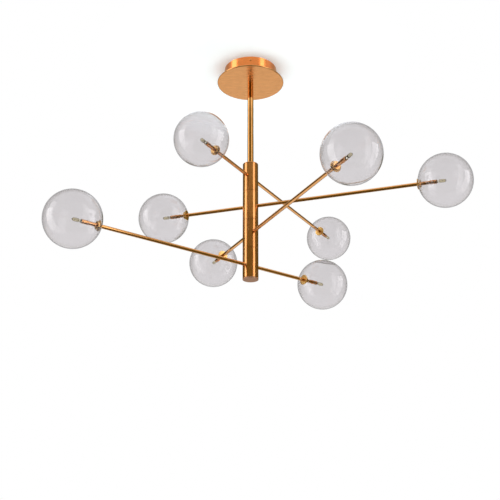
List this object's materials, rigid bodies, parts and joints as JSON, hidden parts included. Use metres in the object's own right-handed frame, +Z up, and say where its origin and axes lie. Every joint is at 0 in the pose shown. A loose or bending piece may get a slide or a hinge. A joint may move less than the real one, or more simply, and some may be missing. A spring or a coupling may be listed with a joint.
{
  "type": "multi arm chandelier",
  "caption": "Ceiling light with a round canopy, a straight stem and a stacked hub; each hub segment turns and carries a level two-ended arm with a clear glass globe lamp at both ends.",
  "frame": {"origin": "centre of the ceiling bracket's upper face, on the ceiling plane, on the stem's axis", "axes": "+Z up, out of the canopy into the ceiling; Y along the bracket's strap, with -Y the side the light is seen from; X across it"},
  "size_m": [1.1208, 1.1482, 0.7129],
  "materials": {
    "copper_brass": "brushed and lacquered, warm copper tone",
    "copper_brass_matte": "matte end face, warm copper tone",
    "turned_steel": "turned, zinc plated",
    "zinc_steel": "pressed, zinc plated",
    "carrier_aluminium": "turned",
    "globe_glass": "clear blown glass, slight smoke",
    "lamp_glass": "clear quartz",
    "socket_ceramic": "unglazed",
    "driver_plastic": "moulded",
    "terminal_plastic": "moulded",
    "washer_nylon": "punched sheet",
    "wire_sleeve": "heat resistant sleeving"
  },
  "bodies": {
    "hanger": {"ceiling_bracket": "zinc_steel", "canopy_side_screws": "copper_brass", "canopy_drum": "copper_brass", "canopy_plate": "copper_brass", "led_driver": "driver_plastic", "terminal_block": "terminal_plastic", "stem_tube": "copper_brass", "stem_top_bush": "turned_steel", "threaded_nipple": "turned_steel", "nipple_nut": "turned_steel", "stem_leads": "wire_sleeve", "hub_spindle": "turned_steel", "hub_top_cap": "copper_brass", "friction_washers": "washer_nylon", "spindle_nut": "turned_steel", "hub_bottom_cap": "copper_brass_matte"},
    "arm_1": {"hub_sleeve_1": "copper_brass", "arm_carrier_1": "carrier_aluminium", "long_arm_tube_1": "copper_brass", "short_arm_tube_1": "copper_brass", "globe_flanges_1": "copper_brass", "lamp_holders_1": "copper_brass", "lamp_sockets_1": "socket_ceramic", "lamp_capsules_1": "lamp_glass", "arm_leads_1": "wire_sleeve", "long_glass_globe_1": "globe_glass", "short_glass_globe_1": "globe_glass"},
    "arm_2": {"hub_sleeve_2": "copper_brass", "arm_carrier_2": "carrier_aluminium", "long_arm_tube_2": "copper_brass", "short_arm_tube_2": "copper_brass", "globe_flanges_2": "copper_brass", "lamp_holders_2": "copper_brass", "lamp_sockets_2": "socket_ceramic", "lamp_capsules_2": "lamp_glass", "arm_leads_2": "wire_sleeve", "long_glass_globe_2": "globe_glass", "short_glass_globe_2": "globe_glass"},
    "arm_3": {"hub_sleeve_3": "copper_brass", "arm_carrier_3": "carrier_aluminium", "long_arm_tube_3": "copper_brass", "short_arm_tube_3": "copper_brass", "globe_flanges_3": "copper_brass", "lamp_holders_3": "copper_brass", "lamp_sockets_3": "socket_ceramic", "lamp_capsules_3": "lamp_glass", "arm_leads_3": "wire_sleeve", "long_glass_globe_3": "globe_glass", "short_glass_globe_3": "globe_glass"},
    "arm_4": {"hub_sleeve_4": "copper_brass", "arm_carrier_4": "carrier_aluminium", "long_arm_tube_4": "copper_brass", "short_arm_tube_4": "copper_brass", "globe_flanges_4": "copper_brass", "lamp_holders_4": "copper_brass", "lamp_sockets_4": "socket_ceramic", "lamp_capsules_4": "lamp_glass", "arm_leads_4": "wire_sleeve", "long_glass_globe_4": "globe_glass", "short_glass_globe_4": "globe_glass"}
  },
  "joints": [
    {"name": "arm_1_turn", "type": "hinge", "parent": "hanger", "child": "arm_1", "pos_m": [0, 0, -0.36245], "axis": [0, 0, 1], "range_deg": [-27, 170]},
    {"name": "arm_2_turn", "type": "hinge", "parent": "hanger", "child": "arm_2", "pos_m": [0, 0, -0.45595], "axis": [0, 0, 1], "range_deg": [-9, 24]},
    {"name": "arm_3_turn", "type": "hinge", "parent": "hanger", "child": "arm_3", "pos_m": [0, 0, -0.54045], "axis": [0, 0, 1], "range_deg": [-24, 9]},
    {"name": "arm_4_turn", "type": "hinge", "parent": "hanger", "child": "arm_4", "pos_m": [0, 0, -0.63795], "axis": [0, 0, 1], "range_deg": [-170, 24]}
  ]
}
